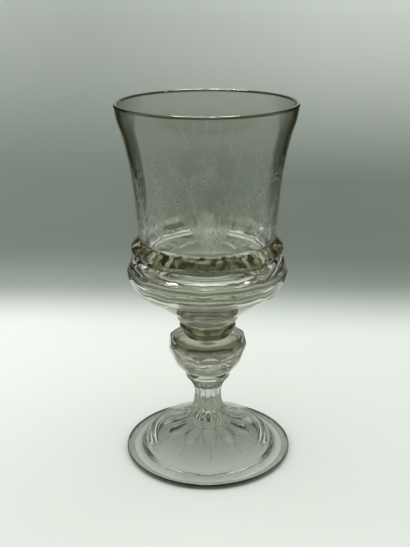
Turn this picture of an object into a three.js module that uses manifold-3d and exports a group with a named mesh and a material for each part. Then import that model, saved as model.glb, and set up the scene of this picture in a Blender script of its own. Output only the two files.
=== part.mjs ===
import * as THREE from 'three';
import { mergeVertices } from 'three/addons/utils/BufferGeometryUtils.js';
import Module from 'manifold-3d';

// A stemmed drinking glass of thick, slightly olive glass: a bell bowl on a hollow
// facet-cut bulb, a hollow facet-cut knop below flat discs, a fluted stem and a domed foot.
// Each gather of glass is a solid of its own, welded face to face to the next one.
// Millimetres, +Z up, origin on the table under the middle of the foot.

// Foot: a flat flange with a hollow dome in the middle, which rests on a raised ring
const FOOT_RADIUS = 42.7;
const FLANGE_THICKNESS = 3.0;
const RIM_ROUNDING = 1.4;
const REST_RING_WIDTH = 2.6;
const REST_RING_SLOPE = 0.6;
const REST_RING_HEIGHT = 0.5;
const DOME_RADIUS = 32.4;
const DOME_EDGE_HEIGHT = 9.4;
const DOME_STEP_ROUNDING = 3.2;
const DOME_WALL = 3.2;
const FOOT_HEIGHT = 16.5;
const FOOT_NECK_RADIUS = 14.0;

// Stem: a waisted column that opens into a cup under the knop. The foot's hollow runs on
// through a hole in the foot's top into the end of the stem
const STEM_HEIGHT = 26.8;
const STEM_WAIST_RADIUS = 7.9;
const CUP_RADIUS = 11.3;
const CUP_LIP_HEIGHT = 2.0;
const STEM_HOLLOW_RADIUS = 5.5;
const STEM_HOLLOW_DEPTH = 5.5;

// Flutes cut down the stem and out over the dome
const FLUTE_COUNT = 12;
const FLUTE_DEPTH = 1.5;
const FLUTE_WHEEL_RADIUS = 11;
const FLUTE_TIP_RADIUS = 23;
const FLUTE_DEGREES = 3;

// Knop, and the small ring and the flat disc (merese) above it. Corners of a cut outline
// are shares of the swelling beyond the shank and of the height. Points of a hollow are
// shares of its widest radius and of its depth
const KNOP_HEIGHT = 21.0;
const KNOP_RADIUS = 19.3;
const KNOP_FACETS = 10;
const KNOP_DEGREES = 4;
const KNOP_SHANK_RADIUS = 12.1;
const KNOP_CORNERS = [[0, 0.06], [0.7, 0.41], [1, 0.72], [0.92, 0.88]];
const KNOP_CROWN = [[0.72, 0.955], [0.4, 0.99]];
const KNOP_WALL = 2.2;
const KNOP_FLOOR_THICKNESS = 2.9;
const KNOP_MOUTH_RADIUS = 8.5;
const KNOP_HOLLOW = [[0.77, 0.925], [0.95, 0.83], [1, 0.7], [0.96, 0.55], [0.77, 0.31], [0.54, 0.13]];
const NECK_RING_HEIGHT = 2.4;
const NECK_RING_RADIUS = 11.0;
const NECK_RING_BULGE = 0.4;
const MERESE_HEIGHT = 4.9;
const MERESE_RADIUS = 14.1;

// Trailed ring round the waist of the bowl
const BOWL_WAIST_RADIUS = 33.0;
const COLLAR_HEIGHT = 8.4;
const COLLAR_THICKNESS = 4.0;
const COLLAR_RADIUS = BOWL_WAIST_RADIUS + COLLAR_THICKNESS;
const COLLAR_FACETS = 26;
const COLLAR_CORNERS = [[0.58, 0.04], [1, 0.38], [0.85, 0.6], [0.17, 0.97]];

// Shoulder of the bowl, under the ring
const SHOULDER_HEIGHT = 1.7;
const SHOULDER_LEDGE = 2.3;
const SHOULDER_FLARE = 0.5;
const SHOULDER_RADIUS = BOWL_WAIST_RADIUS + SHOULDER_LEDGE;
const BASE_TOP_RADIUS = SHOULDER_RADIUS + SHOULDER_FLARE;

// Hollow bulb under the bowl, cut all round in staggered rows of flat facets. The bowl
// closes its mouth
const BASE_HEIGHT = 33.9;
const BASE_SWELLING = 3.0;
const BASE_RADIUS = BASE_TOP_RADIUS + BASE_SWELLING;
const BASE_NECK_RADIUS = 13.0;
const BASE_NECK_HEIGHT = 1.4;
const BASE_SHANK_RADIUS = 15.6;
const BASE_FACETS = 15;
const BASE_DEGREES = -3;
const BASE_CORNERS = [[0, 0.13], [0.43, 0.336], [0.845, 0.543], [1, 0.775], [0.975, 0.875], [0.9, 0.975]];
const BASE_WALL = 2.4;
const BASE_FLOOR_THICKNESS = 5.0;
const BASE_MOUTH_RADIUS = 13.0;
const BASE_HOLLOW = [[0.55, 0.945], [0.85, 0.858], [0.97, 0.785], [1, 0.692], [0.945, 0.554],
  [0.805, 0.384], [0.618, 0.221], [0.426, 0.083], [0.22, 0.014]];

// Bell bowl. Its floor is a shallow dish with a rounded corner: distances in from the
// wall and up from the middle of the floor
const BOWL_HEIGHT = 74.5;
const BOWL_RIM_RADIUS = 43.0;
const BOWL_FLOOR_THICKNESS = 3.5;
const FLOOR_DISH_RADIUS = 18.0;
const FLOOR_DISH_RISE = 0.3;
const FLOOR_CORNER = [[0.4, 5.3], [1.5, 3.2], [3.8, 1.6], [7.5, 0.7]];
const RIM_WALL = 1.9;
const RIM_ARC_START = 30;
const SIDE_WALL = 1.7;
const WAIST_WALL = 3.0;
const WALL_THINS_TO = 0.6;
const BELL = [[0, 0], [0.11, 0.2], [0.3, 0.5], [0.61, 0.75], [0.89, 0.9], [1, 1]];

// Steps round a turned piece, and round a fluted one, where each flute has a whole number
const ROUND_STEPS = 45;
const STEPS_PER_FLUTE = 4;
const FLUTED_STEPS = STEPS_PER_FLUTE * FLUTE_COUNT;
const CUTTER_REACH = 20;

// Heights of the welds, from the table up
const STEM_Z = FOOT_HEIGHT;
const KNOP_Z = STEM_Z + STEM_HEIGHT;
const NECK_RING_Z = KNOP_Z + KNOP_HEIGHT;
const MERESE_Z = NECK_RING_Z + NECK_RING_HEIGHT;
const BASE_Z = MERESE_Z + MERESE_HEIGHT;
const BOWL_Z = BASE_Z + BASE_HEIGHT;
const COLLAR_Z = BOWL_Z + SHOULDER_HEIGHT;

const wasm = await Module();
wasm.setup();

const clearGlass = new THREE.MeshStandardMaterial({ color: 0xc9cdbd, roughness: 0.04, metalness: 0 });
const deepGlass = new THREE.MeshStandardMaterial({ color: 0x8d8d72, roughness: 0.04, metalness: 0 });

// Points of an outline are radius and height
const at = (r, z) => ({ r, z });
const between = (low, high, share) => low + (high - low) * share;

// Outline points from shares of a swelling between two radii and of a height
const scaled = (shares, inner, outer, height) =>
  shares.map(([swell, rise]) => at(between(inner, outer, swell), rise * height));

// A blank just large enough for `count` flat facets to meet at their corners
const blankFor = (corners, count) =>
  corners.map((p) => at(p.r / Math.cos(Math.PI / count), p.z));

// A smooth line through a few outline points, as `steps` stretches
function smooth(points, steps) {
  const curve = new THREE.SplineCurve(points.map((p) => new THREE.Vector2(p.r, p.z)));
  return curve.getPoints(steps).map((p) => at(p.x, p.y));
}

// A quarter or other part of an ellipse, from angle `start` to `end` in degrees
function arc(centre, radiusR, radiusZ, start, end, steps) {
  const points = [];
  for (let i = 0; i <= steps; i++) {
    const angle = THREE.MathUtils.degToRad(between(start, end, i / steps));
    points.push(at(centre.r + radiusR * Math.cos(angle), centre.z + radiusZ * Math.sin(angle)));
  }
  return points;
}

// Points of a hollow from near its mouth down to the axis
const hollowPoints = (shares, radius, floor, depth) =>
  [...shares.map(([width, rise]) => at(width * radius, floor + rise * depth)), at(0, floor)];

// Turns an outline that runs from the axis, round the outside, back to the axis
function turned(outline) {
  const points = outline.map((p) => new THREE.Vector2(Math.max(p.r, 0), p.z));
  return new THREE.LatheGeometry(points, ROUND_STEPS).rotateX(Math.PI / 2);
}

// Turns a ring whose outline closes on itself
function turnedRing(outline, steps, turn) {
  const points = [...outline, outline[0]].map((p) => new THREE.Vector2(p.r, p.z));
  return new THREE.LatheGeometry(points, steps).rotateX(Math.PI / 2).rotateZ(turn);
}

function toSolid(geometry) {
  const bare = geometry.clone();
  bare.deleteAttribute('normal');
  bare.deleteAttribute('uv');
  const merged = mergeVertices(bare, 1e-4);
  const corners = [...merged.index.array];
  const triVerts = [];
  for (let i = 0; i < corners.length; i += 3) {
    const [a, b, c] = corners.slice(i, i + 3);
    if (a !== b && b !== c && c !== a) triVerts.push(a, b, c);
  }
  const mesh = new wasm.Mesh({
    numProp: 3,
    vertProperties: new Float32Array(merged.attributes.position.array),
    triVerts: new Uint32Array(triVerts),
  });
  return new wasm.Manifold(mesh);
}

function toGeometry(solid) {
  const mesh = solid.getMesh();
  const geometry = new THREE.BufferGeometry();
  geometry.setAttribute('position', new THREE.BufferAttribute(mesh.vertProperties, 3));
  geometry.setIndex(new THREE.BufferAttribute(mesh.triVerts, 1));
  geometry.computeVertexNormals();
  return geometry;
}

// Grinds one row of flat facets: removes all that lies outside a cone with `count` flat
// sides whose middles pass through the points `low` and `high`, between two heights
function grindRow(solid, row, count, turn, bottom, top) {
  const corner = 1 / Math.cos(Math.PI / count);
  const slope = (row.high.r - row.low.r) / (row.high.z - row.low.z);
  const sideAt = (z) => (row.low.r + slope * (z - row.low.z)) * corner;
  const reach = Math.max(sideAt(bottom), sideAt(top)) + CUTTER_REACH;
  const cutter = turnedRing(
    [at(sideAt(bottom), bottom), at(reach, bottom), at(reach, top), at(sideAt(top), top)],
    count, turn);
  return solid.subtract(toSolid(cutter));
}

// Rows of facets along an outline of corners, the first turned by `degrees`; each row is
// half a facet round from the last
function grindRows(solid, corners, count, degrees, bottom, top) {
  let cut = solid;
  for (let i = 0; i + 1 < corners.length; i++) {
    const phase = THREE.MathUtils.degToRad(degrees) + (i % 2) * (Math.PI / count);
    cut = grindRow(cut, { low: corners[i], high: corners[i + 1] }, count, phase, bottom, top);
  }
  return cut;
}

// The line of the stem and dome, from the cup down to the edge of the dome
const flare = new THREE.SplineCurve([
  at(CUP_RADIUS, KNOP_Z),
  at(between(STEM_WAIST_RADIUS, CUP_RADIUS, 0.94), KNOP_Z - CUP_LIP_HEIGHT),
  at(between(STEM_WAIST_RADIUS, CUP_RADIUS, 0.45), between(STEM_Z, KNOP_Z, 0.835)),
  at(between(STEM_WAIST_RADIUS, CUP_RADIUS, 0.1), between(STEM_Z, KNOP_Z, 0.72)),
  at(STEM_WAIST_RADIUS, between(STEM_Z, KNOP_Z, 0.55)),
  at(between(STEM_WAIST_RADIUS, FOOT_NECK_RADIUS, 0.12), between(STEM_Z, KNOP_Z, 0.33)),
  at(between(STEM_WAIST_RADIUS, FOOT_NECK_RADIUS, 0.45), between(STEM_Z, KNOP_Z, 0.185)),
  at(FOOT_NECK_RADIUS, STEM_Z),
  at(between(FOOT_NECK_RADIUS, DOME_RADIUS, 0.46), between(DOME_EDGE_HEIGHT, STEM_Z, 0.52)),
  at(between(FOOT_NECK_RADIUS, DOME_RADIUS, 0.86), between(DOME_EDGE_HEIGHT, STEM_Z, 0.13)),
].map((p) => new THREE.Vector2(p.r, p.z)));
const FLARE_WELD = 7 / 9;
const fluteTurn = THREE.MathUtils.degToRad(FLUTE_DEGREES);

// A stretch of that line, each point with its outward slope and its flute depth
function flareStretch(start, end, steps) {
  const points = [];
  for (let i = 0; i <= steps; i++) {
    const t = between(start, end, i / steps);
    const p = flare.getPoint(t);
    const tangent = flare.getTangent(t);
    points.push({ r: p.x, z: p.y, outR: -tangent.y, outZ: tangent.x, depth: fluteDepth(p) });
  }
  return points;
}

// Depth of a flute on its middle line: full at the waist, running out in the cup and
// at the leaf-shaped tips on the dome
function fluteDepth(p) {
  const above = (KNOP_Z - CUP_LIP_HEIGHT - p.y) / (0.3 * STEM_HEIGHT);
  const inside = (FLUTE_TIP_RADIUS - p.x) / (FLUTE_TIP_RADIUS - FOOT_NECK_RADIUS);
  return FLUTE_DEPTH * Math.sqrt(THREE.MathUtils.clamp(Math.min(above, inside), 0, 1));
}

// Where the surface lies at an angle round the axis once the flutes are cut. The cut is
// measured square to the surface and taken inward on the stem, downward on the dome
function fluted(p, angle) {
  const pitch = (2 * Math.PI) / FLUTE_COUNT;
  const aside = THREE.MathUtils.euclideanModulo(angle - fluteTurn + pitch / 2, pitch) - pitch / 2;
  const across = p.r * aside;
  const hollow = 1 / FLUTE_WHEEL_RADIUS + Math.abs(p.outR) / p.r;
  const depth = Math.max(0, p.depth - 0.5 * hollow * across * across);
  const tilt = 0.5 * Math.PI * THREE.MathUtils.smoothstep(p.r, FOOT_NECK_RADIUS, FLUTE_TIP_RADIUS);
  const amount = depth / (Math.cos(tilt) * p.outR + Math.sin(tilt) * p.outZ);
  return at(p.r - amount * Math.cos(tilt), p.z - amount * Math.sin(tilt));
}

// Turns an outline like turned(), but lets `shape` move each point at its angle. An
// outline that doesn't start on the axis closes on itself
function turnedBy(outline, shape) {
  const positions = [];
  const closed = outline[0].r > 0;
  const ends = closed ? [] : [outline[0], outline.at(-1)];
  const rings = closed ? outline : outline.slice(1, -1);
  for (const end of ends) positions.push(0, 0, end.z);
  for (const point of rings) {
    for (let k = 0; k < FLUTED_STEPS; k++) {
      const angle = (2 * Math.PI * k) / FLUTED_STEPS + fluteTurn;
      const p = shape(point, angle);
      positions.push(p.r * Math.cos(angle), p.r * Math.sin(angle), p.z);
    }
  }
  const index = [];
  const ringPoint = (ring, k) =>
    ends.length + (ring % rings.length) * FLUTED_STEPS + (k % FLUTED_STEPS);
  const bands = closed ? rings.length : rings.length - 1;
  for (let k = 0; k < FLUTED_STEPS; k++) {
    for (let ring = 0; ring < bands; ring++) {
      const [a, b] = [ringPoint(ring, k), ringPoint(ring, k + 1)];
      const [c, d] = [ringPoint(ring + 1, k), ringPoint(ring + 1, k + 1)];
      index.push(a, b, d, a, d, c);
    }
    if (closed) continue;
    index.push(0, ringPoint(0, k + 1), ringPoint(0, k));
    index.push(1, ringPoint(rings.length - 1, k), ringPoint(rings.length - 1, k + 1));
  }
  const geometry = new THREE.BufferGeometry();
  geometry.setAttribute('position', new THREE.Float32BufferAttribute(positions, 3));
  geometry.setIndex(index);
  geometry.computeVertexNormals();
  return geometry;
}

const flutedWhereCut = (p, angle) => (p.depth > 0 ? fluted(p, angle) : p);

function footGeometry() {
  const restOuter = FOOT_RADIUS - RIM_ROUNDING;
  const restInner = restOuter - REST_RING_WIDTH;
  const hollowRadius = DOME_RADIUS - DOME_WALL;
  const hollowEdge = DOME_EDGE_HEIGHT - DOME_WALL;
  const edgeHeight = DOME_EDGE_HEIGHT - FLANGE_THICKNESS;
  const hollow = smooth([
    at(STEM_HOLLOW_RADIUS, FOOT_HEIGHT),
    at(0.45 * hollowRadius, between(hollowEdge, FOOT_HEIGHT, 0.62)),
    at(0.7 * hollowRadius, between(hollowEdge, FOOT_HEIGHT, 0.38)),
    at(0.9 * hollowRadius, between(hollowEdge, FOOT_HEIGHT, 0.12)),
    at(hollowRadius, 0.55 * hollowEdge),
    at(between(hollowRadius, DOME_RADIUS, 0.4), REST_RING_HEIGHT),
  ], 7);
  const underside = [at(restInner - REST_RING_SLOPE, REST_RING_HEIGHT), at(restInner, 0)];
  const rim = arc(at(restOuter, FLANGE_THICKNESS / 2),
    RIM_ROUNDING, FLANGE_THICKNESS / 2, -90, 80, 5);
  const step = [
    at(DOME_RADIUS + DOME_STEP_ROUNDING, FLANGE_THICKNESS + 0.03 * edgeHeight),
    at(DOME_RADIUS + 0.38 * DOME_STEP_ROUNDING, FLANGE_THICKNESS + 0.25 * edgeHeight),
    at(DOME_RADIUS, FLANGE_THICKNESS + 0.62 * edgeHeight),
    at(DOME_RADIUS - 0.28 * DOME_STEP_ROUNDING, FLANGE_THICKNESS + 0.86 * edgeHeight),
  ];
  const dome = flareStretch(1, FLARE_WELD, 7);
  return turnedBy([...hollow, ...underside, ...rim, ...step, ...dome], flutedWhereCut);
}

function stemGeometry() {
  const column = flareStretch(FLARE_WELD, 0, 12);
  const hollow = [
    at(0, STEM_Z + STEM_HOLLOW_DEPTH),
    at(0.35 * STEM_HOLLOW_RADIUS, STEM_Z + 0.85 * STEM_HOLLOW_DEPTH),
    at(0.66 * STEM_HOLLOW_RADIUS, STEM_Z + 0.45 * STEM_HOLLOW_DEPTH),
    at(STEM_HOLLOW_RADIUS, STEM_Z),
  ];
  return turnedBy([...hollow, ...column, at(0, KNOP_Z)], flutedWhereCut);
}

function knopGeometry() {
  const corners = scaled(KNOP_CORNERS, KNOP_SHANK_RADIUS, KNOP_RADIUS, KNOP_HEIGHT);
  const blank = blankFor(corners, KNOP_FACETS);
  const crown = smooth([
    blank.at(-1),
    ...scaled(KNOP_CROWN, NECK_RING_RADIUS, KNOP_RADIUS, KNOP_HEIGHT),
    at(NECK_RING_RADIUS, KNOP_HEIGHT),
  ], 7);
  const hollow = hollowPoints(KNOP_HOLLOW, KNOP_RADIUS - KNOP_WALL,
    KNOP_FLOOR_THICKNESS, KNOP_HEIGHT - KNOP_FLOOR_THICKNESS);
  const outline = [
    at(0, 0), at(CUP_RADIUS, 0), corners[0],
    ...blank.slice(1, -1), ...crown, at(KNOP_MOUTH_RADIUS, KNOP_HEIGHT), ...hollow,
  ];
  const solid = toSolid(turned(outline));
  return toGeometry(
    grindRows(solid, corners, KNOP_FACETS, KNOP_DEGREES, corners[0].z, KNOP_HEIGHT + 1));
}

function neckRingGeometry() {
  const edge = arc(at(NECK_RING_RADIUS, NECK_RING_HEIGHT / 2),
    NECK_RING_BULGE, NECK_RING_HEIGHT / 2, -90, 90, 4);
  return turned([at(0, 0), ...edge, at(0, NECK_RING_HEIGHT)]);
}

function mereseGeometry() {
  const rounding = MERESE_HEIGHT / 2;
  const edge = arc(at(MERESE_RADIUS - rounding, rounding), rounding, rounding, -90, 90, 6);
  return turned([at(0, 0), ...edge, at(0, MERESE_HEIGHT)]);
}

function bowlBaseGeometry() {
  const corners = scaled(BASE_CORNERS, BASE_SHANK_RADIUS, BASE_RADIUS, BASE_HEIGHT);
  const blank = blankFor(corners, BASE_FACETS);
  const hollow = hollowPoints(BASE_HOLLOW, BASE_RADIUS - BASE_WALL,
    BASE_FLOOR_THICKNESS, BASE_HEIGHT - BASE_FLOOR_THICKNESS);
  const outline = [
    at(0, 0), at(BASE_NECK_RADIUS, 0), at(BASE_SHANK_RADIUS, BASE_NECK_HEIGHT), corners[0],
    ...blank.slice(1), at(BASE_TOP_RADIUS, BASE_HEIGHT), at(BASE_MOUTH_RADIUS, BASE_HEIGHT),
    ...hollow,
  ];
  const solid = toSolid(turned(outline));
  return toGeometry(
    grindRows(solid, corners, BASE_FACETS, BASE_DEGREES, corners[0].z, BASE_HEIGHT + 1));
}

function bowlGeometry() {
  const seatTop = SHOULDER_HEIGHT + COLLAR_HEIGHT;
  const outside = smooth(
    scaled(BELL, BOWL_WAIST_RADIUS, BOWL_RIM_RADIUS, BOWL_HEIGHT - RIM_WALL / 2 - seatTop)
      .map((p) => at(p.r, p.z + seatTop)), 8);
  const rim = arc(at(BOWL_RIM_RADIUS - RIM_WALL / 2, BOWL_HEIGHT - RIM_WALL / 2),
    RIM_WALL / 2, RIM_WALL / 2, RIM_ARC_START, 180 - RIM_ARC_START, 4);
  const inside = outside.toReversed().map((p) => {
    const height = (p.z - seatTop) / (BOWL_HEIGHT - seatTop);
    const thick = THREE.MathUtils.smoothstep(height, 0, WALL_THINS_TO);
    return at(p.r - between(WAIST_WALL, between(SIDE_WALL, RIM_WALL, height), thick), p.z);
  });
  const floorRadius = BOWL_WAIST_RADIUS - WAIST_WALL;
  const floor = [
    ...FLOOR_CORNER.map(([aside, rise]) => at(floorRadius - aside, BOWL_FLOOR_THICKNESS + rise)),
    at(FLOOR_DISH_RADIUS, BOWL_FLOOR_THICKNESS + FLOOR_DISH_RISE),
    at(0, BOWL_FLOOR_THICKNESS),
  ];
  return turned([
    at(0, 0), at(BASE_TOP_RADIUS, 0), at(SHOULDER_RADIUS, SHOULDER_HEIGHT),
    at(BOWL_WAIST_RADIUS, SHOULDER_HEIGHT),
    ...outside, ...rim, ...inside, ...floor,
  ]);
}

function collarGeometry() {
  const corners = scaled(COLLAR_CORNERS, BOWL_WAIST_RADIUS, COLLAR_RADIUS, COLLAR_HEIGHT);
  const blank = blankFor(corners, COLLAR_FACETS);
  const outline = [
    at(BOWL_WAIST_RADIUS, 0), at(SHOULDER_RADIUS, 0), ...blank.slice(1, -1),
    at(corners.at(-1).r, COLLAR_HEIGHT), at(BOWL_WAIST_RADIUS, COLLAR_HEIGHT),
  ];
  const solid = toSolid(turnedRing(outline, ROUND_STEPS, 0));
  return toGeometry(grindRows(solid, corners, COLLAR_FACETS, 0, -1, COLLAR_HEIGHT + 1));
}

const group = new THREE.Group();

function add(name, geometry, material, height) {
  const mesh = new THREE.Mesh(geometry, material);
  mesh.name = name;
  mesh.position.z = height;
  group.add(mesh);
}

add('foot', footGeometry(), clearGlass, 0);
add('stem', stemGeometry(), clearGlass, 0);
add('knop', knopGeometry(), deepGlass, KNOP_Z);
add('neck_ring', neckRingGeometry(), deepGlass, NECK_RING_Z);
add('merese', mereseGeometry(), deepGlass, MERESE_Z);
add('bowl_base', bowlBaseGeometry(), deepGlass, BASE_Z);
add('bowl', bowlGeometry(), clearGlass, BOWL_Z);
add('collar', collarGeometry(), deepGlass, COLLAR_Z);

export default group;
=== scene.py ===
"""The looks of an engraved stemmed glass: fine turned, fluted and facet-cut glass pieces
that stand for the CAD solids, on a pale floor with soft light."""
import math

import bmesh
import bpy
import numpy as np
from mathutils import Matrix, Vector


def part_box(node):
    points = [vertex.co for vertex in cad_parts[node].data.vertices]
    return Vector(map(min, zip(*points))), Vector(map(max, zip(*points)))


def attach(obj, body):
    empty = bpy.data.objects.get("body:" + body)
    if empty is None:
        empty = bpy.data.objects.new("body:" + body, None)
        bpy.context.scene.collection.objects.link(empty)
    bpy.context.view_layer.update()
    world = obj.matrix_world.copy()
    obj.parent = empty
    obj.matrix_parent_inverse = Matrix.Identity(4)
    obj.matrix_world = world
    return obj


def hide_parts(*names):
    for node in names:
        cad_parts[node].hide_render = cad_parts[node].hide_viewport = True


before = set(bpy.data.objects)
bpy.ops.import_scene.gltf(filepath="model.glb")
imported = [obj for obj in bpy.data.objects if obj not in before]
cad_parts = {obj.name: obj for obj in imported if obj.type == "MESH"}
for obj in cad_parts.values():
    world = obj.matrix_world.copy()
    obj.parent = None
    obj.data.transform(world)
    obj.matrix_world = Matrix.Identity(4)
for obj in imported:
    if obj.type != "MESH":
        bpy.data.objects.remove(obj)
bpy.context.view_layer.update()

MM = 0.001
TAU = 2 * math.pi


def between(low, high, share):
    return low + (high - low) * share


def smoothstep(value, low, high):
    t = np.clip((value - low) / (high - low), 0, 1)
    return t * t * (3 - 2 * t)


# Heights of the welds, from the frame
FOOT_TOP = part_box("foot")[1].z
STEM_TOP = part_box("stem")[1].z
KNOP_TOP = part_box("knop")[1].z
RING_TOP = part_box("neck_ring")[1].z
MERESE_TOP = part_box("merese")[1].z
BASE_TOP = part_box("bowl_base")[1].z
RIM_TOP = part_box("bowl")[1].z
COLLAR_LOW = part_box("collar")[0].z
COLLAR_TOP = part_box("collar")[1].z

# Radii, as in the solids
FOOT_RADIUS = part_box("foot")[1].x
FLANGE_THICKNESS = 3.0 * MM
DOME_RADIUS = 32.4 * MM
DOME_EDGE_HEIGHT = 9.4 * MM
DOME_WALL = 3.2 * MM
FOOT_NECK_RADIUS = 14.0 * MM
WAIST_RADIUS = 7.9 * MM
CUP_RADIUS = 11.3 * MM
KNOP_SHANK_RADIUS = 12.1 * MM
KNOP_RADIUS = 19.3 * MM
NECK_RADIUS = 11.0 * MM
NECK_BULGE = 0.4 * MM
MERESE_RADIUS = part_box("merese")[1].x
BASE_NECK_RADIUS = 13.0 * MM
BASE_SHANK_RADIUS = 15.6 * MM
BASE_RADIUS = 38.8 * MM
BASE_TOP_RADIUS = 35.8 * MM
SHOULDER_RADIUS = 35.3 * MM
BOWL_WAIST_RADIUS = 33.0 * MM
BOWL_RIM_RADIUS = 43.0 * MM
COLLAR_RADIUS = 37.0 * MM
WAIST_WALL = 3.0 * MM
SIDE_WALL = 1.7 * MM
RIM_WALL = 1.9 * MM
RIM_ROUNDING = 1.4 * MM
REST_RING_WIDTH = 2.6 * MM

# Lines of the hollows as (radius, height) in mm, from the mouth down. The bulb's is closed by the
# bowl above it, the knop's by the ring above it, and the foot's is open below
BULB_MOUTH = 13.0 * MM
BULB_HOLLOW = [
    (16, 105.1), (20, 103.9), (25, 102.6), (31, 101.4), (35.3, 99.3), (36.4, 96.6),
    (34.4, 92.6), (29.3, 87.7), (22.5, 83), (15.5, 79), (8, 77), (0, 76.6),
]
KNOP_MOUTH = 8.5 * MM
KNOP_HOLLOW = [
    (10, 64.0), (13.2, 62.9), (16.2, 61.2), (17.1, 58.8), (16.4, 56.2), (13.2, 51.9),
    (9.2, 48.6), (5, 46.6), (0, 46.2),
]
FOOT_MOUTH = 5.5 * MM
FOOT_HOLLOW_TOP = 22.0 * MM
BOWL_FLOOR = [
    (29.6, 114.3), (28.5, 112.2), (26.2, 110.6), (22.5, 109.7), (18, 109.3), (9, 109.05),
    (0, 109),
]

# Heights, or radii on the bowl's floor, and how much painted shade the glass gets there, as a
# share of the dark tint painted at its edges
BULB_PAINTED_SHADE = [(71.6 * MM, 0), (76 * MM, 0.15), (79 * MM, 0.75), (84 * MM, 0.6), (91 * MM, 0)]
KNOP_PAINTED_SHADE = [(46 * MM, 0.05), (58 * MM, 0.1), (60 * MM, 0.9), (62 * MM, 1), (63 * MM, 0.2)]
FLOOR_PAINTED_SHADE = [(12.5 * MM, 0.2), (14 * MM, 1), (20 * MM, 0.9), (21.5 * MM, 0.1), (60 * MM, 0)]
FOOT_PAINTED_SHADE = [(3.6 * MM, 0), (7 * MM, 0.15), (10 * MM, 0.2), (24 * MM, 0.25)]
COLLAR_PAINTED_SHADE = [(COLLAR_LOW, 1), (between(COLLAR_LOW, COLLAR_TOP, 0.4), 0.5), (COLLAR_TOP, 0)]
STEM_PAINTED_SHADE = [(20 * MM, 0), (30 * MM, 0.1), (34 * MM, 0.4), (40 * MM, 0.3), (43.3 * MM, 0.1)]

# Flutes and facets
FLUTES = 12
FLUTE_DEPTH = 1.5 * MM
FLUTE_WHEEL_RADIUS = 11 * MM
FLUTE_TIP_RADIUS = 23 * MM
FLUTE_TURN = math.radians(3)
FLUTE_RUN_OUT = 0.3 * (STEM_TOP - FOOT_TOP)
# Painted shade along the flutes' ridges: how dark, how wide, and from which radius out
RIDGE_SHADE_SHARE = 0.5
RIDGE_WIDTH = 0.45 * MM
RIDGE_FROM_RADIUS = 7 * MM
KNOP_FACETS = 10
KNOP_TURN = math.radians(4)
BASE_FACETS = 15
BASE_TURN = math.radians(-3)
COLLAR_FACETS = 26

# Steps round the axis, as many for each facet of the collar
ROUND_STEPS = 360
COLLAR_STEPS = 16 * COLLAR_FACETS
BOWL_STEPS = 400
ENGRAVING_DEPTH = 0.05 * MM


def spline(points, steps):
    """A smooth line through a few (radius, height) points, as `steps` stretches."""
    p = np.array([points[0], *points, points[-1]], float)
    line = []
    for i in range(steps + 1):
        t = i / steps * (len(points) - 1)
        k = min(int(t), len(points) - 2)
        w = t - k
        a, b, c, d = p[k:k + 4]
        line.append(0.5 * (2 * b + (c - a) * w + (2 * a - 5 * b + 4 * c - d) * w * w
                           + (3 * b - a - 3 * c + d) * w ** 3))
    return [tuple(q) for q in line]


def arc(centre, radius_r, radius_z, start, end, steps):
    """Part of an ellipse round (radius, height), between two angles in degrees."""
    angles = np.radians(np.linspace(start, end, steps + 1))
    return [(centre[0] + radius_r * math.cos(a), centre[1] + radius_z * math.sin(a))
            for a in angles]


# What a stretch of an outline is: plain glass, glass at an edge with a dark tint painted on as
# shade, a weld, where this piece joins the next and nothing shows, or glass with less tint
GLASS, SHADED_EDGE, WELD, CLEAR = 0, 1, 2, 3
MATERIAL_OF = {GLASS: 0, SHADED_EDGE: 0, WELD: 1, CLEAR: 2}


def turned(name, stretches, steps=ROUND_STEPS, shape=None, closed=False, deep=()):
    """A solid turned round the axis from stretches of (points, kind). `shape` may move the
    points of each ring, and `deep` has stops of height, or of radius for clear stretches, and
    the share there of the edge's dark tint, which is painted shade."""
    outline, kinds = [], []
    for points, kind in stretches:
        if outline and np.allclose(outline[-1], points[0], atol=1e-7):
            points = points[1:]
        kinds += [kind] * len(points)
        outline += list(points)
    if closed:
        outline.pop()
        kinds.pop()
    around = TAU * np.arange(steps) / steps
    verts, rings, edges = [], [], []
    for (r, z), kind in zip(outline, kinds):
        start = len(verts)
        if r < 1e-6:
            verts.append((0, 0, z))
        else:
            radius, height = shape(r, z, around) if shape else (r + 0 * around, z + 0 * around)
            verts += list(zip(radius * np.sin(around), -radius * np.cos(around), height))
        rings.append(list(range(start, len(verts))))
        # How much painted shade each ring gets: all on a shaded edge, else from the stops, more on
        # flute ridges
        share = float(np.interp(r if kind == CLEAR else z, *zip(*deep))) if deep else 0
        shade_level = np.full(len(rings[-1]), 1.0 if kind == SHADED_EDGE else share)
        if shape is fluted and r > RIDGE_FROM_RADIUS:
            shade_level = np.maximum(shade_level, ridge(r, z, around))
        edges += list(shade_level)
    faces, slots = [], []
    pairs = list(zip(rings, rings[1:], kinds[1:]))
    if closed:
        pairs.append((rings[-1], rings[0], kinds[0]))
    for low, high, kind in pairs:
        for k in range(steps):
            n = (k + 1) % steps
            if len(low) == 1:
                face = (low[0], high[n], high[k])
            elif len(high) == 1:
                face = (low[k], low[n], high[0])
            else:
                face = (low[k], low[n], high[n], high[k])
            faces.append(face)
            slots.append(MATERIAL_OF[kind])
    mesh = bpy.data.meshes.new(name)
    mesh.from_pydata(verts, [], faces)
    mesh.polygons.foreach_set("material_index", slots)
    mesh.polygons.foreach_set("use_smooth", [True] * len(faces))
    mesh.attributes.new("edge", "FLOAT", "POINT").data.foreach_set("value", edges)
    mesh.update()
    return mesh


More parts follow.
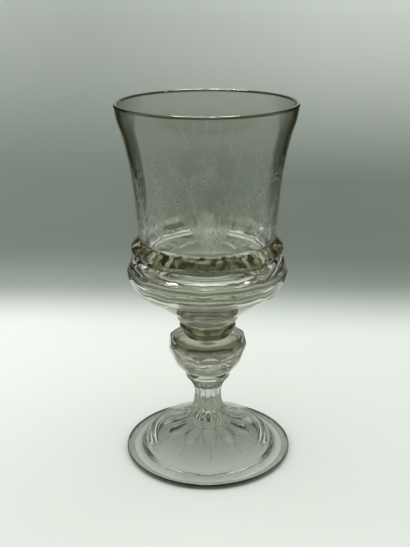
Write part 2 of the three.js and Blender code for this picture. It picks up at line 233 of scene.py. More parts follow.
def grind(mesh, rows, count, turn, bottom):
    """Grinds rows of flat facets above `bottom`. A row is two (radius, height) points that the
    middles of its facets pass through; each row is half a facet round from the last."""
    bm = bmesh.new()
    bm.from_mesh(mesh)
    pitch = TAU / count
    for i, (low, high) in enumerate(rows):
        slope = Vector((high[1] - low[1], low[0] - high[0])).normalized()
        for k in range(count):
            az = turn + (k + 0.5 + 0.5 * (i % 2)) * pitch
            out = Vector((math.sin(az), -math.cos(az), 0))
            normal = out * slope.x + Vector((0, 0, slope.y))
            point = out * low[0] + Vector((0, 0, low[1]))
            faces = [f for f in bm.faces if f.calc_center_median().z > bottom]
            edges = dict.fromkeys(e for f in faces for e in f.edges)
            verts = dict.fromkeys(v for f in faces for v in f.verts)
            bmesh.ops.bisect_plane(
                bm, geom=[*verts, *edges, *faces], dist=MM / 10000,
                plane_co=point, plane_no=normal, clear_outer=True)
            edges = [e for e in bm.edges if e.is_boundary]
            if not edges:
                continue
            made = bmesh.ops.edgeloop_fill(bm, edges=edges)["faces"]
            for face in made:
                face.smooth = False
                face.material_index = 0
                for edge in face.edges:
                    edge.smooth = False
    bmesh.ops.recalc_face_normals(bm, faces=bm.faces[:])
    bm.to_mesh(mesh)
    bm.free()
    return mesh


def rows_of(shares, inner, outer, low, high):
    corners = [(between(inner, outer, s), between(low, high, h)) for s, h in shares]
    return corners, list(zip(corners, corners[1:]))


def blank_for(corners, count):
    """A blank a little larger than the facets' meeting points, from a ring just inside them."""
    ring = (corners[0][0] - 0.05 * MM, corners[0][1])
    return [ring, *((r / math.cos(math.pi / count) + 0.4 * MM, z) for r, z in corners[1:])]


# The line of the stem and the dome
FLARE = [
    (CUP_RADIUS, STEM_TOP),
    (between(WAIST_RADIUS, CUP_RADIUS, 0.94), between(FOOT_TOP, STEM_TOP, 0.93)),
    (between(WAIST_RADIUS, CUP_RADIUS, 0.45), between(FOOT_TOP, STEM_TOP, 0.835)),
    (between(WAIST_RADIUS, CUP_RADIUS, 0.1), between(FOOT_TOP, STEM_TOP, 0.72)),
    (WAIST_RADIUS, between(FOOT_TOP, STEM_TOP, 0.55)),
    (between(WAIST_RADIUS, FOOT_NECK_RADIUS, 0.12), between(FOOT_TOP, STEM_TOP, 0.33)),
    (between(WAIST_RADIUS, FOOT_NECK_RADIUS, 0.45), between(FOOT_TOP, STEM_TOP, 0.185)),
    (FOOT_NECK_RADIUS, FOOT_TOP),
    (between(FOOT_NECK_RADIUS, DOME_RADIUS, 0.46), between(DOME_EDGE_HEIGHT, FOOT_TOP, 0.52)),
    (between(FOOT_NECK_RADIUS, DOME_RADIUS, 0.86), between(DOME_EDGE_HEIGHT, FOOT_TOP, 0.13)),
]
STEPS_A_SPAN = 24
flare_line = spline(FLARE, STEPS_A_SPAN * (len(FLARE) - 1))
WELD_STEP = 7 * STEPS_A_SPAN
flare_array = np.array(flare_line)


def from_flute(around):
    """The angle from the middle of the nearest flute."""
    pitch = TAU / FLUTES
    return (around - FLUTE_TURN + pitch / 2) % pitch - pitch / 2


def flute_left(r):
    """How much is left of the flutes at a radius on the dome: 1 at its neck, 0 at their tips."""
    return (FLUTE_TIP_RADIUS - r) / (FLUTE_TIP_RADIUS - FOOT_NECK_RADIUS)


def fluted(r, z, around):
    """Where the surface lies round one ring of the stem or dome once the flutes are cut."""
    i = int(np.argmin(np.hypot(flare_array[:, 0] - r, flare_array[:, 1] - z)))
    a, b = flare_array[max(i - 1, 0)], flare_array[min(i + 1, len(flare_array) - 1)]
    if np.hypot(*(flare_array[i] - (r, z))) > 1e-6:
        return r + 0 * around, z + 0 * around
    along = (b - a) / np.hypot(*(b - a))
    out_r, out_z = -along[1], along[0]
    below = (STEM_TOP - 2 * MM - z) / FLUTE_RUN_OUT
    deepest = FLUTE_DEPTH * math.sqrt(np.clip(min(below, flute_left(r)), 0, 1))
    hollow = 1 / FLUTE_WHEEL_RADIUS + abs(out_r) / r
    depth = np.maximum(0, deepest - 0.5 * hollow * (r * from_flute(around)) ** 2)
    tilt = 0.5 * math.pi * float(smoothstep(r, FOOT_NECK_RADIUS, FLUTE_TIP_RADIUS))
    amount = depth / (math.cos(tilt) * out_r + math.sin(tilt) * out_z)
    return r - amount * math.cos(tilt), z - amount * math.sin(tilt)


def ridge(r, z, around):
    """Painted shade, 1 on the ridges between the flutes and round their leaf-shaped ends, 0
    elsewhere.
    """
    if z < DOME_EDGE_HEIGHT:
        return 0 * around
    below = np.clip((STEM_TOP - 4 * MM - z) / FLUTE_RUN_OUT, 0, 1)
    half = 0.5 * TAU / FLUTES * math.sqrt(np.clip(flute_left(r), 0, 1))
    aside = (np.abs(from_flute(around)) - half) * r
    return RIDGE_SHADE_SHARE * below * np.exp(-(aside / RIDGE_WIDTH) ** 2)


def hollow_line(mouth, top, points):
    line = [(mouth, top), *((r * MM, z * MM) for r, z in points)]
    return spline(line, 8 * len(line))


def foot_mesh():
    hollow_radius = DOME_RADIUS - DOME_WALL
    edge = DOME_EDGE_HEIGHT - DOME_WALL
    hollow = spline([
        (FOOT_MOUTH, FOOT_TOP),
        (0.45 * hollow_radius, between(edge, FOOT_TOP, 0.62)),
        (0.7 * hollow_radius, between(edge, FOOT_TOP, 0.38)),
        (0.9 * hollow_radius, between(edge, FOOT_TOP, 0.12)),
        (hollow_radius, 0.55 * edge),
        (hollow_radius + 1.2 * MM, 0.5 * MM),
    ], 60)
    rest = FOOT_RADIUS - RIM_ROUNDING
    inner = rest - REST_RING_WIDTH
    under = spline([hollow[-1], (hollow_radius + 3 * MM, 0.35 * MM),
                    (inner - 0.6 * MM, 0.35 * MM), (inner, 0)], 12)
    rim = arc((rest, FLANGE_THICKNESS / 2), RIM_ROUNDING, FLANGE_THICKNESS / 2, -90, 80, 16)
    edge_rise = DOME_EDGE_HEIGHT - FLANGE_THICKNESS
    step = spline([
        rim[-1],
        (DOME_RADIUS + 3.2 * MM, FLANGE_THICKNESS + 0.2 * MM),
        (DOME_RADIUS + 1.2 * MM, FLANGE_THICKNESS + 0.25 * edge_rise),
        (DOME_RADIUS, FLANGE_THICKNESS + 0.62 * edge_rise),
        (DOME_RADIUS - 0.9 * MM, FLANGE_THICKNESS + 0.86 * edge_rise),
        flare_line[-1],
    ], 50)
    dome = flare_line[:WELD_STEP - 1:-1]
    return turned("foot", [
        # The rim's rounded edge gets the dark edge tint, painted shade
        (hollow, GLASS), (under, GLASS), (rim[:1], GLASS), (rim[1:15], SHADED_EDGE), (rim[15:], GLASS),
        (step, GLASS), (dome, GLASS),
        ([dome[-1], hollow[0]], WELD),
    ], shape=fluted, closed=True, deep=FOOT_PAINTED_SHADE)


def stem_mesh():
    column = flare_line[WELD_STEP::-1]
    hollow = spline([
        (0, FOOT_HOLLOW_TOP),
        (0.35 * FOOT_MOUTH, between(FOOT_TOP, FOOT_HOLLOW_TOP, 0.85)),
        (0.66 * FOOT_MOUTH, between(FOOT_TOP, FOOT_HOLLOW_TOP, 0.45)),
        (FOOT_MOUTH, FOOT_TOP),
    ], 20)
    return turned("stem", [
        (hollow, GLASS), ([hollow[-1], column[0]], WELD), (column, GLASS),
        ([column[-1], (0, STEM_TOP)], WELD),
    ], shape=fluted, deep=STEM_PAINTED_SHADE)


def knop_mesh():
    height = KNOP_TOP - STEM_TOP
    shares = [(0, 0.06), (0.7, 0.41), (1, 0.72), (0.92, 0.88)]
    corners, rows = rows_of(shares, KNOP_SHANK_RADIUS, KNOP_RADIUS, STEM_TOP, KNOP_TOP)
    blank = blank_for(corners, KNOP_FACETS)
    crown = spline([
        blank[-1],
        (between(NECK_RADIUS, KNOP_RADIUS, 0.72), STEM_TOP + 0.955 * height),
        (between(NECK_RADIUS, KNOP_RADIUS, 0.4), STEM_TOP + 0.99 * height),
        (NECK_RADIUS, KNOP_TOP),
    ], 30)
    mesh = turned("knop", [
        ([(0, STEM_TOP), (CUP_RADIUS, STEM_TOP)], WELD),
        ([(CUP_RADIUS, STEM_TOP), *blank], GLASS),
        (crown, GLASS),
        ([crown[-1], (KNOP_MOUTH, KNOP_TOP)], WELD),
        (hollow_line(KNOP_MOUTH, KNOP_TOP, KNOP_HOLLOW), GLASS),
    ], deep=KNOP_PAINTED_SHADE)
    return grind(mesh, rows, KNOP_FACETS, KNOP_TURN, blank[0][1])


def neck_ring_mesh():
    middle = (KNOP_TOP + RING_TOP) / 2
    edge = arc((NECK_RADIUS, middle), NECK_BULGE, (RING_TOP - KNOP_TOP) / 2, -90, 90, 14)
    return turned("neck_ring", [
        ([(0, KNOP_TOP), (KNOP_MOUTH, KNOP_TOP)], GLASS),
        ([(KNOP_MOUTH, KNOP_TOP), edge[0]], WELD), (edge, GLASS),
        ([edge[-1], (0, RING_TOP)], WELD),
    ])


def merese_mesh():
    half = (MERESE_TOP - RING_TOP) / 2
    middle = (RING_TOP + MERESE_TOP) / 2
    edge = arc((MERESE_RADIUS - half, middle), half, half, -90, 90, 32)
    return turned("merese", [
        ([(0, RING_TOP), edge[0]], WELD), (edge, GLASS), ([edge[-1], (0, MERESE_TOP)], WELD),
    ])


def base_mesh():
    shares = [(0, 0.13), (0.43, 0.336), (0.845, 0.543), (1, 0.775), (0.975, 0.875), (0.9, 0.975)]
    corners, rows = rows_of(shares, BASE_SHANK_RADIUS, BASE_RADIUS, MERESE_TOP, BASE_TOP)
    blank = blank_for(corners, BASE_FACETS)
    neck = spline([
        (BASE_NECK_RADIUS, MERESE_TOP),
        (BASE_SHANK_RADIUS - 0.6 * MM, MERESE_TOP + 1.4 * MM),
        blank[0],
    ], 12)
    hollow = hollow_line(BULB_MOUTH, BASE_TOP, BULB_HOLLOW)
    mesh = turned("bowl_base", [
        ([(0, MERESE_TOP), neck[0]], WELD), (neck, GLASS),
        ([neck[-1], *blank[1:], (BASE_TOP_RADIUS, BASE_TOP)], GLASS),
        ([(BASE_TOP_RADIUS, BASE_TOP), (BULB_MOUTH, BASE_TOP)], WELD),
        (hollow, GLASS),
    ], deep=BULB_PAINTED_SHADE)
    return grind(mesh, rows, BASE_FACETS, BASE_TURN, blank[0][1])


# The bell's line, as shares of the way from its waist to its rim and of its height
BELL = [(0, 0), (0.11, 0.2), (0.3, 0.5), (0.61, 0.75), (0.89, 0.9), (1, 1)]


def bowl_mesh():
    height = RIM_TOP - RIM_WALL / 2 - COLLAR_TOP
    outside = spline([(between(BOWL_WAIST_RADIUS, BOWL_RIM_RADIUS, s), COLLAR_TOP + h * height)
                      for s, h in BELL], 144)
    rim = arc((BOWL_RIM_RADIUS - RIM_WALL / 2, RIM_TOP - RIM_WALL / 2),
              RIM_WALL / 2, RIM_WALL / 2, 0, 180, 14)
    inside = []
    for r, z in outside[::-4]:
        share = (z - COLLAR_TOP) / (RIM_TOP - COLLAR_TOP)
        thick = float(smoothstep(share, 0, 0.6))
        inside.append((r - between(WAIST_WALL, between(SIDE_WALL, RIM_WALL, share), thick), z))
    floor = spline([inside[-1], *((r * MM, z * MM) for r, z in BOWL_FLOOR)], 40)
    return turned("bowl", [
        ([(0, BASE_TOP), (BULB_MOUTH, BASE_TOP)], CLEAR),
        ([(BULB_MOUTH, BASE_TOP), (BASE_TOP_RADIUS, BASE_TOP)], WELD),
        ([(BASE_TOP_RADIUS, BASE_TOP), (SHOULDER_RADIUS, COLLAR_LOW)], CLEAR),
        ([(SHOULDER_RADIUS, COLLAR_LOW), (BOWL_WAIST_RADIUS, COLLAR_LOW),
          (BOWL_WAIST_RADIUS, COLLAR_TOP)], WELD),
        # The rim and the glass just round it get the dark edge tint, painted shade
        (outside[:-3], GLASS), (outside[-3:], SHADED_EDGE), (rim, SHADED_EDGE), (inside[:1], SHADED_EDGE),
        (inside[1:], GLASS), (floor, CLEAR),
    ], steps=BOWL_STEPS, deep=FLOOR_PAINTED_SHADE)


class Engraving:
    """A drawing on the bowl's outside, in degrees round from the front and mm above the
    collar, made of cuts that each have a path, a width along it and a depth. The bowl's
    radius, in mm too, turns the one into the other."""
    RADIUS = 36.0

    def __init__(self):
        self.cuts = []

    def cut(self, points, width, depth=1.0, steps=0):
        path = np.array(spline(points, steps or 6 * len(points)))
        width = np.interp(np.linspace(0, 1, len(path)), np.linspace(0, 1, len(width)), width)
        self.cuts.append((path * (math.radians(self.RADIUS), 1), width, depth))

    def leaf(self, at, way, length, width, bend=0.0, depth=0.6):
        """A leaf from its foot, its way in degrees from up, with a deeper midrib."""
        points = [at]
        for k in range(8):
            a = math.radians(way + bend * k / 7)
            points.append((points[-1][0] + length / 8 * math.sin(a) / math.radians(self.RADIUS),
                           points[-1][1] + length / 8 * math.cos(a)))
        self.cut(points, [0.2, 0.75 * width, width, 0.7 * width, 0.1], depth)
        self.cut(points, [0.5, 0.3], 1.0)

    def spray(self, points, count, length, width, spread=48):
        """A stem with leaves by turns at its two sides, smaller toward its tip."""
        self.cut(points, [0.9, 0.5], 1.0)
        path = spline(points, 40)
        for k in range(count):
            i = int(6 + 32 * k / count)
            (a, h), (b, j) = path[i - 1], path[i]
            way = math.degrees(math.atan2((b - a) * math.radians(self.RADIUS), j - h))
            side = 1 if k % 2 else -1
            size = 1 - 0.55 * k / count
            self.leaf(path[i], way + side * spread, length * size, width * size, -side * 30)

    def flower(self, at, size, petals=7):
        for k in range(petals):
            way = 360 * k / petals + 12
            self.leaf(at, way, size, 0.6 * size, 18, 0.6)
        a, h = at
        high = 0.24 * size
        wide = high / math.radians(self.RADIUS)
        self.cut([(a + wide * math.sin(t), h + high * math.cos(t))
                  for t in np.linspace(0, TAU, 13)], [0.6, 0.6], 1.0, 24)

    def cartouche(self, at, wide, high):
        """An oval frame with upright hatching, a crown of five points and scrolls below."""
        a, h = at
        wide /= math.radians(self.RADIUS)
        for grow, width in ((1, 0.9), (1.18, 0.5)):
            self.cut([(a + grow * wide * math.sin(t), h + grow * high * math.cos(t))
                      for t in np.linspace(0, TAU, 17)], [width, width], 1.0, 48)
        for k in range(-4, 5):
            reach = high * math.sqrt(1 - (k / 5) ** 2) - 0.6
            x = a + k / 5 * wide
            self.cut([(x, h - reach), (x, h), (x, h + reach)], [0.7, 0.7], 0.9)
        low, top = h + high + 2.4, h + high + 9
        self.cut([(a - 0.9 * wide, low), (a, low - 0.8), (a + 0.9 * wide, low)],
                 [1.3, 1.3], 0.9)
        for k in range(-2, 3):
            x = a + 0.42 * k * wide
            tip = (a + 0.58 * k * wide, top - 0.4 * abs(k))
            self.cut([(x, low + 0.8), ((x + tip[0]) / 2, (low + top) / 2), tip],
                     [1.8, 0.9, 1.5], 0.7)
        for side in (-1, 1):
            self.spray([
                (a + side * 0.3 * wide, h - high - 3), (a + side * 1.3 * wide, h - high),
                (a + side * 1.9 * wide, h - 0.2 * high), (a + side * 1.6 * wide, h + 0.7 * high),
            ], 9, 5.5, 2.0)

    def mask(self, around, height):
        """How deep the drawing is at points on the outside."""
        turn = TAU * self.RADIUS
        x = around * self.RADIUS
        found = np.zeros(len(x))
        for path, width, depth in self.cuts:
            reach = width.max() / 2 + 0.5
            middle = path[:, 0].mean()
            near_x = (x - middle + turn / 2) % turn - turn / 2 + middle
            close = np.flatnonzero(
                (near_x > path[:, 0].min() - reach) & (near_x < path[:, 0].max() + reach)
                & (height > path[:, 1].min() - reach) & (height < path[:, 1].max() + reach))
            if not len(close):
                continue
            p = np.stack([near_x[close], height[close]], 1)
            best = np.full(len(close), -9.0)
            for a, b, wa, wb in zip(path, path[1:], width, width[1:]):
                d = b - a
                t = np.clip(((p - a) @ d) / max(d @ d, 1e-9), 0, 1)
                gap = np.hypot(*(p - a - t[:, None] * d).T)
                best = np.maximum(best, (wa + (wb - wa) * t) / 2 - gap)
            found[close] = np.maximum(found[close], depth * np.clip(best / 0.5 + 0.5, 0, 1))
        return found


def engraving():
    """Flowers and leaves at the front, a crowned oval at the right, fronds at the left and a
    wreath at the back."""
    e = Engraving()
    e.leaf((2, 3), -26, 34, 12, 30, 0.55)
    e.leaf((4, 3), 22, 24, 11, -34, 0.5)
    e.leaf((3, 2), 2, 17, 6, 14, 0.4)
    e.leaf((-6, 14), -58, 19, 8, 44, 0.5)
    e.leaf((-9, 26), 14, 20, 8.5, 34, 0.55)
    e.leaf((-12, 30), -30, 15, 7, -24, 0.5)
    e.leaf((-8, 32), 66, 17, 6, 26, 0.45)
    e.cut([(3, 3), (-4, 14), (-11, 26), (-10, 38), (-4, 44)], [1.2, 0.9, 0.5])
    e.cut([(-14, 34), (-4, 38), (6, 38), (13, 33)], [0.6, 0.6, 0.3])
    e.cut([(-6, 42), (0, 47), (7, 53)], [0.5, 0.3])
    e.cut([(-2, 40), (4, 45), (9, 49)], [0.4, 0.3])
    e.leaf((20, 20), 20, 12, 5, 40, 0.55)
    e.leaf((22, 19), 62, 12, 5, 10, 0.55)
    e.leaf((20, 18), 100, 13, 4.6, -26, 0.5)
    e.leaf((19, 20), -24, 10, 4.2, 10, 0.5)
    e.leaf((21, 17), 140, 10, 4, -30, 0.5)
    e.cut([(5, 5), (13, 9), (20, 18)], [0.7, 0.7])
    e.cartouche((58, 22), 9, 11)
    e.spray([(96, 6), (101, 16), (97, 27), (101, 38)], 9, 9, 3.4)
    e.spray([(-34, 4), (-40, 14), (-36, 26), (-41, 38)], 9, 10, 4)
    e.spray([(-60, 3), (-56, 14), (-61, 26), (-56, 42)], 11, 9, 3.6)
    e.spray([(-84, 6), (-89, 18), (-84, 30), (-88, 42)], 10, 9, 3.4)
    for side in (-1, 1):
        e.spray([(180, 5), (180 + 24 * side, 12), (180 + 30 * side, 26), (180 + 14 * side, 40)],
                11, 9, 3.6)
    e.flower((180, 26), 8, 8)
    for k in range(5):
        e.leaf((180 + 9 * (k - 2), 42 - abs(k - 2)), 10 * (k - 2), 7, 3)
    e.spray([(132, 5), (128, 16), (132, 28), (128, 38)], 10, 8, 3.2)
    e.spray([(-128, 5), (-124, 16), (-129, 28), (-124, 38)], 10, 8, 3.2)
    return e


def engrave(mesh, drawing):
    """Cuts the drawing into the bowl's outside and keeps where its ground glass is matt."""
    co = np.empty(3 * len(mesh.vertices))
    mesh.vertices.foreach_get("co", co)
    co = co.reshape(-1, 3)
    normals = np.empty(3 * len(mesh.vertices))
    mesh.vertices.foreach_get("normal", normals)
    normals = normals.reshape(-1, 3)
    radius = np.hypot(co[:, 0], co[:, 1])
    outward = (normals[:, 0] * co[:, 0] + normals[:, 1] * co[:, 1]) / np.maximum(radius, MM)
    found = drawing.mask(np.arctan2(co[:, 0], -co[:, 1]), (co[:, 2] - COLLAR_TOP) / MM)
    found *= (outward > 0.5) & (co[:, 2] > COLLAR_TOP + 0.3 * MM) & (co[:, 2] < RIM_TOP - 3 * MM)
    co -= normals * (ENGRAVING_DEPTH * found)[:, None]
    mesh.vertices.foreach_set("co", co.ravel())
    mesh.attributes.new("matt", "FLOAT", "POINT").data.foreach_set("value", found)
    mesh.update()
    return mesh


def collar_mesh():
    shares = [(0.58, 0.04), (1, 0.38), (0.85, 0.6), (0.17, 0.97)]
    corners, rows = rows_of(shares, BOWL_WAIST_RADIUS, COLLAR_RADIUS, COLLAR_LOW, COLLAR_TOP)
    blank = blank_for(corners, COLLAR_FACETS)
    mesh = turned("collar", [
        ([(BOWL_WAIST_RADIUS, COLLAR_TOP), (BOWL_WAIST_RADIUS, COLLAR_LOW),
          (SHOULDER_RADIUS, COLLAR_LOW)], WELD),
        ([(SHOULDER_RADIUS, COLLAR_LOW), *blank[1:-1], (corners[-1][0], COLLAR_TOP),
          (BOWL_WAIST_RADIUS, COLLAR_TOP)], GLASS),
    ], steps=COLLAR_STEPS, closed=True, deep=COLLAR_PAINTED_SHADE)
    return grind(mesh, rows, COLLAR_FACETS, 0, COLLAR_LOW)


class Nodes:
    """The nodes of a material or of the world. Each is added with its inputs, by name or by
    number, as values or as the outputs that they are linked to."""

    def __init__(self, owner, empty=False):
        owner.use_nodes = True
        self.tree = owner.node_tree
        if empty:
            self.tree.nodes.clear()

    def set(self, node, inputs):
        for slot, value in inputs.items():
            if isinstance(value, bpy.types.NodeSocket):
                self.tree.links.new(value, node.inputs[slot])
            else:
                node.inputs[slot].default_value = value

    def add(self, kind, inputs=None, **settings):
        node = self.tree.nodes.new("ShaderNode" + kind)
        for name, value in settings.items():
            setattr(node, name, value)
        self.set(node, inputs or {})
        return node

    def attribute(self, name):
        return self.add("Attribute", attribute_name=name).outputs["Fac"]

    def math(self, operation, first, second):
        return self.add("Math", {0: first, 1: second}, operation=operation).outputs[0]

    def mapped(self, value, low, high, out_low=0.0, out_high=1.0, curve="SMOOTHSTEP"):
        """The value's range from low to high, spread from out_low to out_high."""
        return self.add("MapRange", {
            "Value": value, "From Min": low, "From Max": high,
            "To Min": out_low, "To Max": out_high,
        }, interpolation_type=curve).outputs["Result"]

    def mixed(self, share, first, second):
        """Two colours mixed. A mix node has its colours at inputs 6 and 7 and output 2."""
        first, second = ((*c, 1) if isinstance(c, tuple) else c for c in (first, second))
        mix = self.add("Mix", data_type="RGBA")
        self.set(mix, {"Factor": share, 6: first, 7: second})
        return mix.outputs[2]

    def mixed_shaders(self, share, first, second):
        return self.add("MixShader", {0: share, 1: first, 2: second}).outputs[0]


# Glass: its index, the tint at a grazing angle, partly painted shade for dark outlines, and how
# fast it comes, the scale of the painted shade's streaks and how much of the noise they take, and
# how matt ground glass is
GLASS_IOR = 1.5
GRAZE_TINT = (0.05, 0.043, 0.016)
GRAZE_POWER = 2.1
STREAK_SCALE = 330
STREAK_FROM, STREAK_TO = 0.42, 0.58
MATT_ROUGHNESS = 0.45
MATT_TRANSMISSION = 0.92


def glass_material(name, tint, edge_shade_tint, graze_tint=GRAZE_TINT, streaks=False, engraved=False):
    """Polished glass with a tint, a darker one painted as shade where the attribute edge is 1,
    and one more where it is seen at a grazing angle, through its greatest thickness and as
    painted shade at its outlines. Streaks let the painted shade come and go. Engraved glass is
    matt where the attribute matt is above 0."""
    material = bpy.data.materials.new(name)
    nodes = Nodes(material)
    # The attribute edge holds the share of painted shade
    deep = nodes.attribute("edge")
    if streaks:
        place = nodes.add("TexCoord").outputs["Object"]
        noise = nodes.add("TexNoise", {"Vector": place, "Scale": STREAK_SCALE, "Detail": 1})
        streak = nodes.mapped(noise.outputs["Fac"], STREAK_FROM, STREAK_TO, curve="LINEAR")
        deep = nodes.math("MAXIMUM", streak, deep)
    facing = nodes.add("LayerWeight", {"Blend": 0.5}).outputs["Facing"]
    graze = nodes.math("POWER", facing, GRAZE_POWER)
    colour = nodes.mixed(graze, nodes.mixed(deep, tint, edge_shade_tint), graze_tint)
    roughness, transmission = 0.0, 1.0
    if engraved:
        matt = nodes.attribute("matt")
        roughness = nodes.math("MULTIPLY", matt, MATT_ROUGHNESS)
        transmission = nodes.mapped(matt, 0, 1, 1, MATT_TRANSMISSION, curve="LINEAR")
    nodes.set(material.node_tree.nodes["Principled BSDF"], {
        "Base Color": colour, "IOR": GLASS_IOR,
        "Roughness": roughness, "Transmission Weight": transmission,
    })
    return material


def weld_material():
    """Where two pieces of hot glass have become one, nothing shows."""
    material = bpy.data.materials.new("weld")
    nodes = Nodes(material, empty=True)
    nodes.add("OutputMaterial", {"Surface": nodes.add("BsdfTransparent").outputs[0]})
    return material


weld = weld_material()
clear_glass = glass_material(
    "clear_glass", (0.74, 0.765, 0.71), (0.10, 0.09, 0.04), engraved=True)
floor_glass = glass_material(
    "floor_glass", (1, 1, 0.98), (0.01, 0.008, 0.003), (0.9, 0.9, 0.84))
foot_glass = glass_material(
    "foot_glass", (0.99, 1, 0.97), (0.0005, 0.0005, 0.0002), (0.3, 0.29, 0.2))
deep_glass = glass_material(
    "deep_glass", (0.91, 0.92, 0.84), (0.08, 0.068, 0.025))
# The ring's, merese's and collar's glass is the same glass with a much darker tint, painted shade,
# in streaks
ring_glass = glass_material(
    "ring_glass", (0.34, 0.32, 0.19), (0.05, 0.043, 0.018), streaks=True)
collar_glass = glass_material(
    "collar_glass", (0.50, 0.47, 0.30), (0.02, 0.016, 0.006), streaks=True)

SHARP_FROM = math.radians(25)


def piece(node, mesh, slot, *materials):
    """Stands a mesh for a node of the frame, with its materials in the order that a stretch's
    slot counts them."""
    for material in materials:
        mesh.materials.append(material)
    mesh.set_sharp_from_angle(angle=SHARP_FROM)
    shape = bpy.data.objects.new(node + "_glass", mesh)
    bpy.context.scene.collection.objects.link(shape)
    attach(shape, "root")
    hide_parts(node)


piece("foot", foot_mesh(), "clear_glass", foot_glass, weld)
piece("stem", stem_mesh(), "deep_glass", deep_glass, weld)
piece("knop", knop_mesh(), "deep_glass", deep_glass, weld)
piece("neck_ring", neck_ring_mesh(), "deep_glass", ring_glass, weld)
piece("merese", merese_mesh(), "deep_glass", ring_glass, weld)
piece("bowl_base", base_mesh(), "deep_glass", deep_glass, weld)
piece("bowl", engrave(bowl_mesh(), engraving()), "clear_glass", clear_glass, weld, floor_glass)
piece("collar", collar_mesh(), "deep_glass", collar_glass, weld)


# The camera's place, its lens and film in mm, and how it is turned, in degrees
CAMERA_PLACE = (0, -0.4016, 0.2399)
CAMERA_LENS, CAMERA_FILM = 57.06, 36
CAMERA_PITCH, CAMERA_YAW, CAMERA_ROLL = -19.71, 0.165, -0.3


def make_camera():
    camera = bpy.data.objects.new("camera", bpy.data.cameras.new("camera"))
    bpy.context.scene.collection.objects.link(camera)
    camera.data.sensor_width = CAMERA_FILM
    camera.data.lens = CAMERA_LENS
    camera.data.clip_start = 0.01
    turn = (Matrix.Rotation(math.radians(CAMERA_YAW), 4, "Z")
            @ Matrix.Rotation(math.radians(90 + CAMERA_PITCH), 4, "X")
            @ Matrix.Rotation(math.radians(CAMERA_ROLL), 4, "Z"))
    camera.matrix_world = Matrix.Translation(CAMERA_PLACE) @ turn
    bpy.context.scene.camera = camera


# The pale sheet the glass stands on, which curves up behind it: half its width, where it
# starts, where it bends up, the bend's radius and steps, and its top
SHEET_HALF_WIDTH = 2.5
SHEET_FRONT = -2.5
SHEET_BEND_FROM = 0.40
SHEET_BEND = 0.18
SHEET_BEND_STEPS = 24
SHEET_TOP = 1.2

# Its colour in the light and in the shade, painted on. The painted light leaves it behind the
# glass and comes back higher up, earlier and less at the left: first the share of shade far in
# front, then how the share changes between two distances along the sheet from the glass's axis
SHEET_LIT = (0.88, 0.94, 0.87)
SHEET_SHADE = (0.17, 0.20, 0.17)
SHADE_LEFT = 0.20, [
    (-0.10, 0.13, -0.16), (0.16, 0.25, 0.60), (0.16, 0.35, 0.32), (0.50, 1.00, -0.60)]
SHADE_RIGHT = 0.23, [
    (-0.10, 0.13, -0.06), (0.13, 0.25, 0.61), (0.13, 0.35, 0.25), (0.45, 1.00, -1.00)]
SHADE_TURNS_WITHIN = 0.13

# What the glass sees of it: half the width of its lit part in front of the glass and behind it,
# where it gets narrower, its soft edge as shares of that, and where it fades toward the camera
LIT_HALF_WIDTH_IN_FRONT, LIT_HALF_WIDTH_BEHIND = 1.0, 0.26
LIT_NARROWS = 0.02, 0.12
LIT_EDGE = 0.8, 1.1
LIT_FADES = -0.36, -0.12


def sheet_mesh():
    profile = [(SHEET_FRONT, 0.0)]
    profile += arc((SHEET_BEND_FROM, SHEET_BEND), SHEET_BEND, SHEET_BEND, -90, 0, SHEET_BEND_STEPS)
    profile.append((SHEET_BEND_FROM + SHEET_BEND, SHEET_TOP))
    verts = [(x, y, z) for y, z in profile for x in (-SHEET_HALF_WIDTH, SHEET_HALF_WIDTH)]
    faces = [(2 * k, 2 * k + 1, 2 * k + 3, 2 * k + 2) for k in range(len(profile) - 1)]
    mesh = bpy.data.meshes.new("sheet")
    mesh.from_pydata(verts, [], faces)
    mesh.polygons.foreach_set("use_smooth", [True] * len(faces))
    return mesh


def sheet_material():
    """The whole sheet shows to the camera. The glass mirrors and bends only its lit part,
    narrow behind the glass and fading toward the camera, and the dim room beyond."""
    material = bpy.data.materials.new("sheet")
    nodes = Nodes(material)
    place = nodes.add("SeparateXYZ", {0: nodes.add("TexCoord").outputs["Object"]})
    across, back, up = place.outputs

    way = nodes.math("ADD", back, up)
    shades = []
    for share, changes in (SHADE_LEFT, SHADE_RIGHT):
        for start, end, change in changes:
            share = nodes.math("ADD", nodes.mapped(way, start, end, 0.0, change), share)
        shades.append(nodes.mixed(share, SHEET_LIT, SHEET_SHADE))
    side = nodes.mapped(across, -SHADE_TURNS_WITHIN, SHADE_TURNS_WITHIN, curve="LINEAR")
    shader = material.node_tree.nodes["Principled BSDF"]
    nodes.set(shader, {
        "Base Color": nodes.mixed(side, *shades), "Roughness": 0.9, "Specular IOR Level": 0.0,
    })

    half_width = nodes.mapped(back, *LIT_NARROWS, LIT_HALF_WIDTH_IN_FRONT, LIT_HALF_WIDTH_BEHIND)
    aside = nodes.math("DIVIDE", nodes.math("ABSOLUTE", across, 0.0), half_width)
    lit = nodes.math("MULTIPLY", nodes.mapped(aside, *LIT_EDGE, 1.0, 0.0),
                     nodes.mapped(back, *LIT_FADES))
    shown = nodes.math("MAXIMUM", lit, nodes.add("LightPath").outputs["Is Camera Ray"])
    nothing = nodes.add("BsdfTransparent").outputs[0]
    nodes.set(material.node_tree.nodes["Material Output"], {
        "Surface": nodes.mixed_shaders(shown, nothing, shader.outputs[0])})
    return material


def make_sheet():
    mesh = sheet_mesh()
    mesh.materials.append(sheet_material())
    sheet = bpy.data.objects.new("sheet", mesh)
    bpy.context.scene.collection.objects.link(sheet)


def linear(r, g, b):
    """A colour as a screen shows it, 0 to 255, in linear light."""
    return tuple(((c / 255 + 0.055) / 1.055) ** 2.4 for c in (r, g, b))


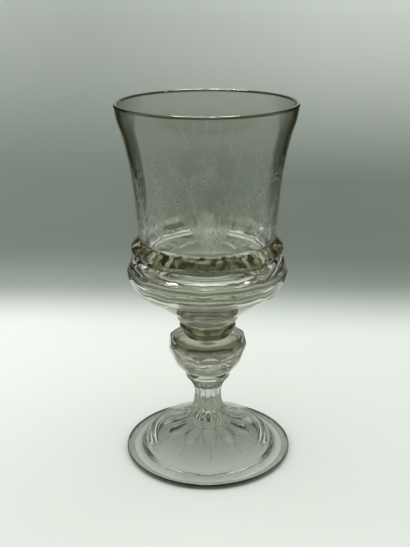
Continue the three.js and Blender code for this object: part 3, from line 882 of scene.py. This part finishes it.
# The room: what the camera sees past the sheet, what the glass sees of it in front and behind,
# with the turn between the two, and the light on all that isn't glass
WALL = linear(196, 202, 193)
ROOM_IN_FRONT = linear(165, 168, 152)
ROOM_BEHIND = linear(52, 49, 28)
ROOM_TURN_FROM, ROOM_TURN_TO = 0.15, 0.55
ROOM_LIGHT = (1, 0.998, 1.005, 1)
ROOM_LIGHT_STRENGTH = 1.18


def make_world():
    world = bpy.data.worlds.new("world")
    bpy.context.scene.world = world
    nodes = Nodes(world, empty=True)
    path = nodes.add("LightPath").outputs
    way = nodes.add("SeparateXYZ", {0: nodes.add("TexCoord").outputs["Generated"]}).outputs["Y"]
    turn = nodes.mapped(way, ROOM_TURN_FROM, ROOM_TURN_TO)
    room = nodes.add("Background", {"Color": nodes.mixed(turn, ROOM_IN_FRONT, ROOM_BEHIND)})
    light = nodes.add("Background", {"Color": ROOM_LIGHT, "Strength": ROOM_LIGHT_STRENGTH})
    wall = nodes.add("Background", {"Color": (*WALL, 1)})
    unseen = nodes.mixed_shaders(path["Diffuse Depth"], room.outputs[0], light.outputs[0])
    nodes.add("OutputWorld", {
        "Surface": nodes.mixed_shaders(path["Is Camera Ray"], unseen, wall.outputs[0])})


LAMP_COLOUR = (1, 1, 0.93)
LAMP_POWER = 2.4
CEILING_LAMP_PLACE = (0, -0.23, 0.97)
CEILING_LAMP_SIZE = (0.30, 0.30)
RIM_LAMPS = 6
RIM_LAMP_PITCH = math.radians(8.7)
RIM_LAMP_DISTANCE = 0.5
RIM_LAMP_HEIGHT = 1.02
RIM_LAMP_SIZE = (0.045, 0.14)


def add_lamp(name, place, aim, size, only=None):
    lamp = bpy.data.objects.new(name, bpy.data.lights.new(name, "AREA"))
    lamp.data.shape = "RECTANGLE"
    lamp.data.size, lamp.data.size_y = size
    lamp.data.energy = LAMP_POWER
    lamp.data.color = LAMP_COLOUR
    lamp.location = place
    lamp.rotation_euler = (Vector(aim) - Vector(place)).to_track_quat("-Z", "Y").to_euler()
    lamp.visible_camera = False
    lamp.visible_diffuse = False
    lamp.visible_transmission = False
    if only:
        lamp.light_linking.receiver_collection = only
    bpy.context.scene.collection.objects.link(lamp)


def make_lamps():
    """One wide lamp over the glass, and a few small ones high up behind that light only the
    bowl, all only for the gloss they give."""
    add_lamp("ceiling_lamp", CEILING_LAMP_PLACE, (0, 0, 0.1), CEILING_LAMP_SIZE)
    rim_only = bpy.data.collections.new("rim_only")
    rim_only.objects.link(bpy.data.objects["bowl_glass"])
    for k in range(RIM_LAMPS):
        a = RIM_LAMP_PITCH * (k - (RIM_LAMPS - 1) / 2)
        place = (RIM_LAMP_DISTANCE * math.sin(a), RIM_LAMP_DISTANCE * math.cos(a), RIM_LAMP_HEIGHT)
        add_lamp("rim_lamp", place, (0, 0, 0.15), RIM_LAMP_SIZE, rim_only)


make_camera()
make_sheet()
make_lamps()
make_world()

scene = bpy.context.scene
scene.view_settings.view_transform = "Standard"
scene.cycles.max_bounces = 32
scene.cycles.transmission_bounces = 24
scene.cycles.glossy_bounces = 16
scene.cycles.transparent_max_bounces = 64
